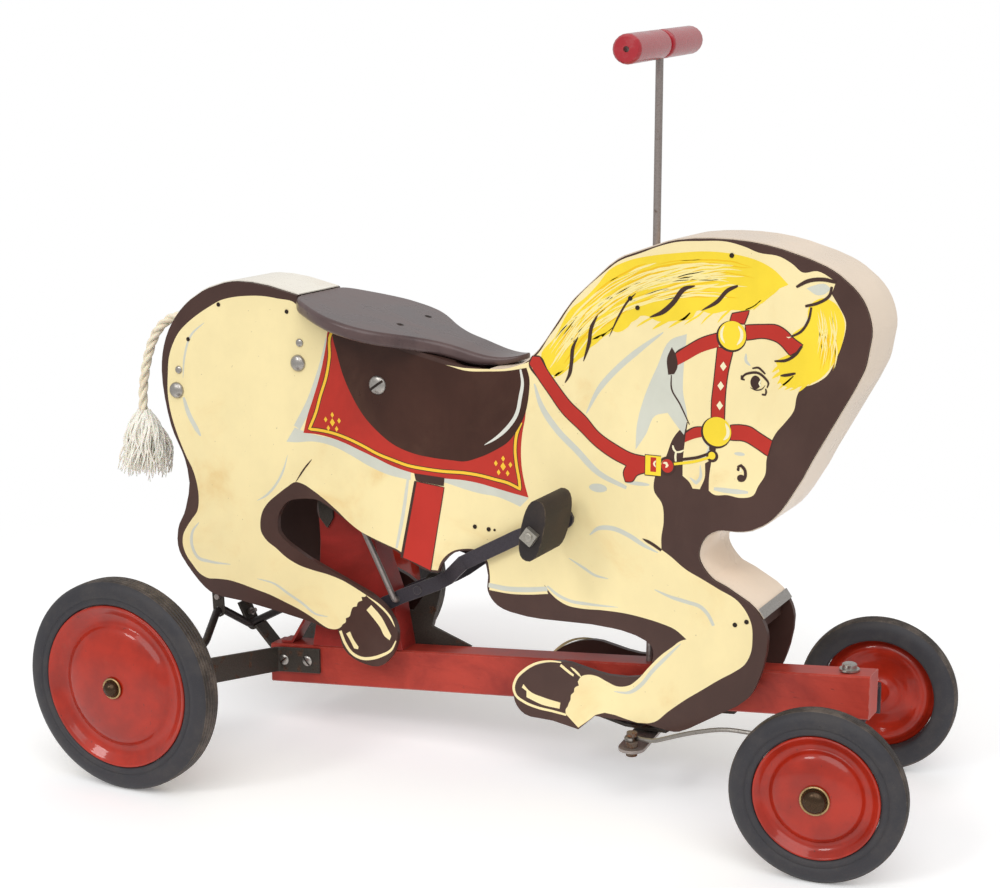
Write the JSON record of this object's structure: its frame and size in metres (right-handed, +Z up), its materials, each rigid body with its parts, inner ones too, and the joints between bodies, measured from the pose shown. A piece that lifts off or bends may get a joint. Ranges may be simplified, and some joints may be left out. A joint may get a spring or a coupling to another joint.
{
  "type": "pedal horse",
  "caption": "Ride-on wooden horse on a wheeled beam, with swinging pedals that crank the rear axle and a tee handle that steers the front axle.",
  "frame": {"origin": "on the ground, at the middle of the footprint of everything but the tail", "axes": "+X forward, +Y to the horse's left, +Z up"},
  "size_m": [1.0082, 0.566, 0.7971],
  "materials": {
    "wood_cream": "painted, semi-gloss with printed artwork",
    "wood_brown": "painted, semi-gloss",
    "wood_red": "painted, worn gloss",
    "wood_post": "painted, worn",
    "seat_board": "dark paint worn smooth",
    "pedal_wood": "dark, worn",
    "sheet_tan": "cream paint, satin",
    "wheel_red": "red enamel, worn",
    "tyre_rubber": "solid rubber, dusty",
    "steel_bright": "plated, dull",
    "steel_plain": "bare, aged",
    "steel_dark": "dark paint, worn",
    "strap_steel": "dark, rusty",
    "grip_red": "glossy",
    "rope_white": "twisted cotton"
  },
  "bodies": {
    "frame": {"side_panel_right": "wood_cream", "side_panel_left": "wood_cream", "front_strip": "sheet_tan", "rear_strip": "sheet_tan", "strip_trim": "steel_bright", "beam": "wood_red", "post": "wood_post", "post_strap": "strap_steel", "rear_brace": "wood_post", "lever_bracket": "strap_steel", "seat": "seat_board", "seat_block": "wood_brown", "rump_block": "wood_brown", "belly_block": "wood_brown", "head_block": "wood_brown", "knee_block": "wood_brown", "neck_block": "wood_brown", "rump_bolt": "steel_bright", "post_bolt": "steel_bright", "seat_bolt": "steel_bright", "outer_bush": "steel_plain", "inner_bush": "steel_plain", "axle_strap_right": "strap_steel", "axle_strap_left": "strap_steel", "bearing_strap": "strap_steel", "bearing_bolt": "steel_plain", "kingpin": "steel_bright", "column_bracket": "strap_steel", "tail_rope": "rope_white", "tail_tassel": "rope_white"},
    "crank": {"crank_axle": "steel_dark", "rear_right_tyre": "tyre_rubber", "rear_right_disc": "wheel_red", "rear_cap_right": "steel_plain", "rear_cap_left": "steel_plain"},
    "left_wheel": {"rear_left_tyre": "tyre_rubber", "rear_left_disc": "wheel_red"},
    "con_rod": {"con_rod": "strap_steel", "con_rod_bolt": "steel_plain"},
    "levers": {"lever_right": "steel_dark", "lever_left": "steel_dark", "pedal_bolt_right": "steel_plain", "pedal_bolt_left": "steel_plain"},
    "pedal_right": {"pedal_right": "pedal_wood"},
    "pedal_left": {"pedal_left": "pedal_wood"},
    "push_rod": {"push_rod": "steel_plain"},
    "rocker": {"rocker": "strap_steel"},
    "front_truck": {"yoke": "steel_dark", "front_axle": "steel_dark", "front_cap_right": "steel_plain", "front_cap_left": "steel_plain"},
    "column": {"column": "steel_plain", "grip_right": "grip_red", "grip_left": "grip_red", "arm_bolt": "steel_plain"},
    "drag_link": {"drag_link": "steel_plain"},
    "front_wheel_right": {"front_right_tyre": "tyre_rubber", "front_right_disc": "wheel_red"},
    "front_wheel_left": {"front_left_tyre": "tyre_rubber", "front_left_disc": "wheel_red"}
  },
  "joints": [
    {"name": "rear_axle_spin", "type": "hinge", "parent": "frame", "child": "crank", "pos_m": [-0.35195, 0, 0.1143], "axis": [0, 1, 0], "continuous": true},
    {"name": "con_rod_pivot", "type": "hinge", "parent": "crank", "child": "con_rod", "pos_m": [-0.3793, -0.0344, 0.13275], "axis": [0, 1, 0], "continuous": true},
    {"name": "left_wheel_spin", "type": "hinge", "parent": "crank", "child": "left_wheel", "pos_m": [-0.35195, 0.2364, 0.1143], "axis": [0, 1, 0], "continuous": true},
    {"name": "pedal_swing", "type": "hinge", "parent": "frame", "child": "levers", "pos_m": [-0.12194, 0, 0.187], "axis": [0, 1, 0], "range_deg": [-4.1, 16]},
    {"name": "pedal_right_turn", "type": "hinge", "parent": "levers", "child": "pedal_right", "pos_m": [0.06906, -0.1, 0.296], "axis": [0, 1, 0], "continuous": true},
    {"name": "pedal_left_turn", "type": "hinge", "parent": "levers", "child": "pedal_left", "pos_m": [0.06906, 0.1, 0.296], "axis": [0, 1, 0], "continuous": true},
    {"name": "push_rod_pivot", "type": "hinge", "parent": "levers", "child": "push_rod", "pos_m": [-0.14894, -0.0262, 0.173], "axis": [0, 1, 0], "range_deg": [-14.8, 4]},
    {"name": "rocker_swing", "type": "hinge", "parent": "frame", "child": "rocker", "pos_m": [-0.2567, -0.0314, 0.4348], "axis": [0, 1, 0], "range_deg": [-23.8, 6.3]},
    {"name": "front_steer", "type": "hinge", "parent": "frame", "child": "front_truck", "pos_m": [0.36256, 0, 0.108], "axis": [0, 0, 1], "range_deg": [-35.4, 24.6]},
    {"name": "column_turn", "type": "hinge", "parent": "frame", "child": "column", "pos_m": [0.14605, 0, 0.778], "axis": [0, 0, 1], "range_deg": [-35.4, 24.6]},
    {"name": "drag_link_pivot", "type": "hinge", "parent": "column", "child": "drag_link", "pos_m": [0.1518, -0.06073, 0.0725], "axis": [0, 0, 1], "range_deg": [-24.6, 35.4]},
    {"name": "front_wheel_right_spin", "type": "hinge", "parent": "front_truck", "child": "front_wheel_right", "pos_m": [0.37963, -0.14343, 0.0853], "axis": [-0.0941, 0.9956, 0], "continuous": true},
    {"name": "front_wheel_left_spin", "type": "hinge", "parent": "front_truck", "child": "front_wheel_left", "pos_m": [0.35245, 0.14409, 0.0853], "axis": [-0.0941, 0.9956, 0], "continuous": true}
  ],
  "couplings": [
    {"joint": "con_rod_pivot", "follows": "rear_axle_spin", "ratio": -1},
    {"joint": "push_rod_pivot", "follows": "pedal_swing", "ratio": -0.906},
    {"joint": "rocker_swing", "follows": "pedal_swing", "ratio": -1.47},
    {"joint": "column_turn", "follows": "front_steer", "ratio": 1},
    {"joint": "drag_link_pivot", "follows": "front_steer", "ratio": -1}
  ]
}
